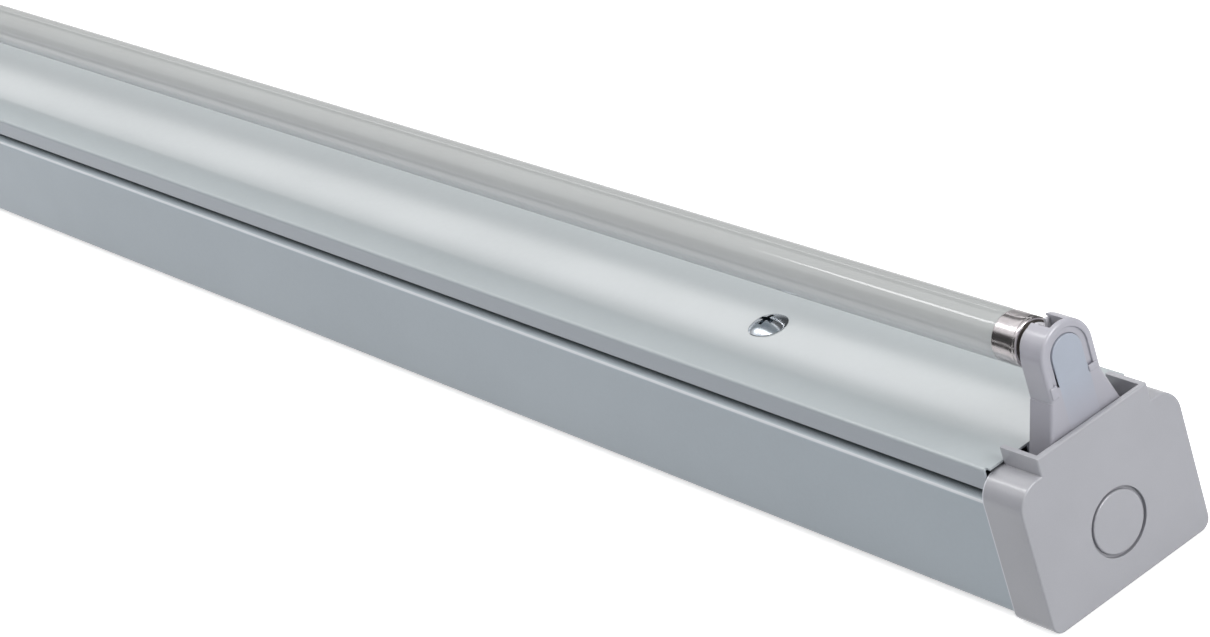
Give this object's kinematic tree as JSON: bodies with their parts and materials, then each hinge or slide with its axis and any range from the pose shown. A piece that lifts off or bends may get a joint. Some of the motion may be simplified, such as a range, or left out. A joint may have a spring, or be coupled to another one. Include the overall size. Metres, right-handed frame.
{
  "type": "batten light",
  "caption": "Slim ceiling batten light for a bare fluorescent tube, with a folded spine, moulded end caps, a lift-off gear tray and turning lampholders.",
  "frame": {"origin": "middle of the back, on the plane that the two raised pads and the end caps share, which lies against the ceiling", "axes": "+X along the lamp towards the near end in the picture, +Z from the ceiling to the lamp, +Y across the light"},
  "size_m": [1.183, 0.0664, 0.0894],
  "materials": {
    "spine_coat": "smooth matt powder coat",
    "tray_coat": "high gloss stove enamel",
    "cap_plastic": "fine satin moulded plastic",
    "holder_plastic": "smooth moulded plastic",
    "cover_plastic": "smooth moulded plastic",
    "rotor_plastic": "moulded plastic",
    "zinc_steel": "bright zinc plating",
    "grommet_rubber": "matt",
    "washer_rubber": "matt",
    "ballast_coat": "pre-coated steel sheet",
    "board_resin": "lacquered board",
    "component_black": "moulded cases",
    "terminal_orange": "moulded plastic",
    "block_plastic": "moulded plastic",
    "tinned_brass": "tinned",
    "contact_bronze": "spring bronze",
    "lead_white": "smooth wire sleeve",
    "lead_blue": "smooth wire sleeve",
    "clip_nylon": "moulded plastic",
    "lamp_glass": "glass with a white coating inside",
    "lamp_aluminium": "bright drawn metal",
    "disc_resin": "moulded resin",
    "pin_brass": "turned metal",
    "stem_glass": "clear",
    "coil_tungsten": "coiled wire"
  },
  "bodies": {
    "housing": {"spine": "spine_coat", "end_cap_near": "cap_plastic", "end_cap_far": "cap_plastic", "fastener_bridge_near": "zinc_steel", "fastener_bridge_far": "zinc_steel", "bridge_rivets": "zinc_steel", "cable_grommet": "grommet_rubber"},
    "tray_unit": {"gear_tray": "tray_coat", "holder_bracket_near": "tray_coat", "holder_bracket_far": "tray_coat", "weld_studs": "zinc_steel", "stud_nuts": "zinc_steel", "ballast_case": "ballast_coat", "ballast_board": "board_resin", "ballast_components": "component_black", "ballast_terminals_near": "terminal_orange", "ballast_terminals_far": "terminal_orange", "terminal_block": "block_plastic", "terminal_screws": "zinc_steel", "earth_tag": "tinned_brass", "fastener_washers": "washer_rubber", "lampholder_near": "holder_plastic", "lampholder_far": "holder_plastic", "holder_cover_near": "cover_plastic", "holder_cover_far": "cover_plastic", "lamp_contacts_near": "contact_bronze", "lamp_contacts_far": "contact_bronze", "lamp_leads_near": "lead_white", "lamp_leads_far": "lead_white", "mains_leads": "lead_blue", "lead_clips": "clip_nylon"},
    "rotor_near_unit": {"rotor_near": "rotor_plastic"},
    "rotor_far_unit": {"rotor_far": "rotor_plastic"},
    "lamp_glass": {"lamp_tube": "lamp_glass"},
    "lamp_ends": {"lamp_cap_near": "lamp_aluminium", "lamp_cap_far": "lamp_aluminium", "lamp_disc_near": "disc_resin", "lamp_disc_far": "disc_resin", "lamp_pins_near": "pin_brass", "lamp_pins_far": "pin_brass", "lamp_stem_near": "stem_glass", "lamp_stem_far": "stem_glass", "lamp_coil_near": "coil_tungsten", "lamp_coil_far": "coil_tungsten"},
    "fastener_near_unit": {"turn_fastener_near": "zinc_steel", "lock_pin_near": "zinc_steel"},
    "fastener_far_unit": {"turn_fastener_far": "zinc_steel", "lock_pin_far": "zinc_steel"}
  },
  "joints": [
    {"name": "tray_lift", "type": "slide", "parent": "housing", "child": "tray_unit", "axis": [0, 0, 1], "range_m": [0, 0.06]},
    {"name": "lamp_lift", "type": "slide", "parent": "tray_unit", "child": "lamp_glass", "axis": [0, 0, 1], "range_m": [0, 0.04]},
    {"name": "lamp_turn", "type": "hinge", "parent": "lamp_glass", "child": "lamp_ends", "pos_m": [0, 0, 0.079], "axis": [1, 0, 0], "range_deg": [0, 90]},
    {"name": "rotor_near_turn", "type": "hinge", "parent": "tray_unit", "child": "rotor_near_unit", "pos_m": [0.5795, 0, 0.079], "axis": [1, 0, 0], "range_deg": [0, 90]},
    {"name": "rotor_far_turn", "type": "hinge", "parent": "tray_unit", "child": "rotor_far_unit", "pos_m": [-0.5795, 0, 0.079], "axis": [1, 0, 0], "range_deg": [0, 90]},
    {"name": "fastener_near_turn", "type": "hinge", "parent": "tray_unit", "child": "fastener_near_unit", "pos_m": [0.438, 0, 0.052], "axis": [0, 0, 1], "range_deg": [0, 90]},
    {"name": "fastener_far_turn", "type": "hinge", "parent": "tray_unit", "child": "fastener_far_unit", "pos_m": [-0.438, 0, 0.052], "axis": [0, 0, 1], "range_deg": [0, 90]}
  ],
  "couplings": [
    {"joint": "rotor_near_turn", "follows": "lamp_turn", "ratio": 1},
    {"joint": "rotor_far_turn", "follows": "lamp_turn", "ratio": 1}
  ]
}
